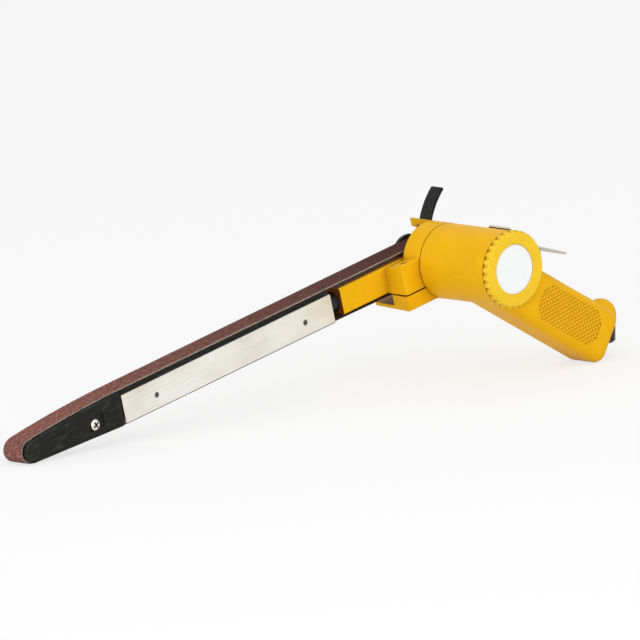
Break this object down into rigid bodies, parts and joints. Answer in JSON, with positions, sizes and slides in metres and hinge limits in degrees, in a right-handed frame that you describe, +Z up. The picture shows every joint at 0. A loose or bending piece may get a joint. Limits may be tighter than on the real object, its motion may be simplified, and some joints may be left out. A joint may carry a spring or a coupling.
{
  "type": "belt sander",
  "caption": "Pistol-form air belt sander: transverse motor with a lever handle, and a long arm that carries a narrow abrasive belt from a drive pulley to a nose roller.",
  "frame": {"origin": "bottom centre of the bounding box; the tool lies on the belt at its nose and on its handle's heel", "axes": "+X along the arm towards the nose, +Y along the motor axis towards the end cap, +Z up"},
  "size_m": [0.3688, 0.0834, 0.0921],
  "materials": {
    "yellow_paint": "smooth gloss paint on a casting",
    "cap_paint": "smooth gloss paint on a turned cap",
    "badge_white": "bare pale disc",
    "black_cast": "black, slightly worn",
    "plate_steel": "brushed along the arm",
    "steel": "turned steel",
    "lever_steel": "folded bright sheet",
    "dark_steel": "blackened steel",
    "abrasive_belt": "red-brown abrasive on cloth",
    "black_rubber": "black rubber",
    "brass": "turned brass",
    "aluminium": "machined",
    "vane_fibre": "fibre laminate"
  },
  "bodies": {
    "motor": {"motor_body": "yellow_paint", "end_cap": "cap_paint", "badge_disc": "badge_white", "cap_seal": "black_rubber", "front_end_plate": "aluminium", "motor_cylinder": "steel", "rear_end_plate": "aluminium", "front_bearing": "steel", "rear_bearing": "steel", "inlet_bushing": "dark_steel", "inlet_strainer": "brass", "exhaust_silencer": "brass", "valve_bushing": "brass", "valve_spring": "steel", "lever_pin": "steel"},
    "rotor": {"rotor": "steel", "vanes": "vane_fibre", "drive_pulley": "dark_steel", "pulley_washer": "steel", "pulley_nut": "steel"},
    "arm": {"arm_base": "yellow_paint", "lower_guard": "yellow_paint", "clamp_screws": "dark_steel", "guard_flap": "black_rubber", "guide_pin": "steel", "tension_spring": "steel"},
    "front_arm": {"tension_rod": "dark_steel", "arm_core": "black_cast", "near_side_plate": "plate_steel", "far_side_plate": "plate_steel", "plate_screws": "dark_steel", "nose_block": "black_cast", "nose_screw": "steel", "idler_axle": "dark_steel", "sanding_belt": "abrasive_belt"},
    "idler": {"idler_roller": "steel", "idler_bush": "brass"},
    "lever": {"throttle_lever": "lever_steel"},
    "plunger": {"valve_plunger": "steel"}
  },
  "joints": [
    {"name": "rotor_spin", "type": "hinge", "parent": "motor", "child": "rotor", "pos_m": [-0.09802, -0.0288, 0.05833], "axis": [0, 1, 0], "continuous": true},
    {"name": "arm_swivel", "type": "hinge", "parent": "motor", "child": "arm", "pos_m": [-0.09802, -0.0148, 0.05833], "axis": [0, 1, 0], "range_deg": [-45, 45]},
    {"name": "tension_slide", "type": "slide", "parent": "arm", "child": "front_arm", "axis": [0.9827, 0, -0.1852], "range_m": [-0.007, 0], "stiffness_N_per_m": 3000, "springref_m": 0.012, "deforming": ["tension_spring", "sanding_belt"]},
    {"name": "idler_spin", "type": "hinge", "parent": "front_arm", "child": "idler", "pos_m": [0.17812, -0.0288, 0.0063], "axis": [0, 1, 0], "continuous": true},
    {"name": "lever_press", "type": "hinge", "parent": "motor", "child": "lever", "pos_m": [-0.12057, 0.0242, 0.06162], "axis": [0, -1, 0], "range_deg": [0, 14], "stiffness_Nm_per_rad": 0.5, "springref_deg": -11.46},
    {"name": "valve_slide", "type": "slide", "parent": "motor", "child": "plunger", "axis": [0.5229, 0, -0.8524], "range_m": [0, 0.0026], "deforming": ["valve_spring"]}
  ],
  "couplings": [
    {"joint": "idler_spin", "follows": "rotor_spin", "ratio": 1.5593},
    {"joint": "valve_slide", "follows": "lever_press", "m_per_rad": 0.0085}
  ]
}
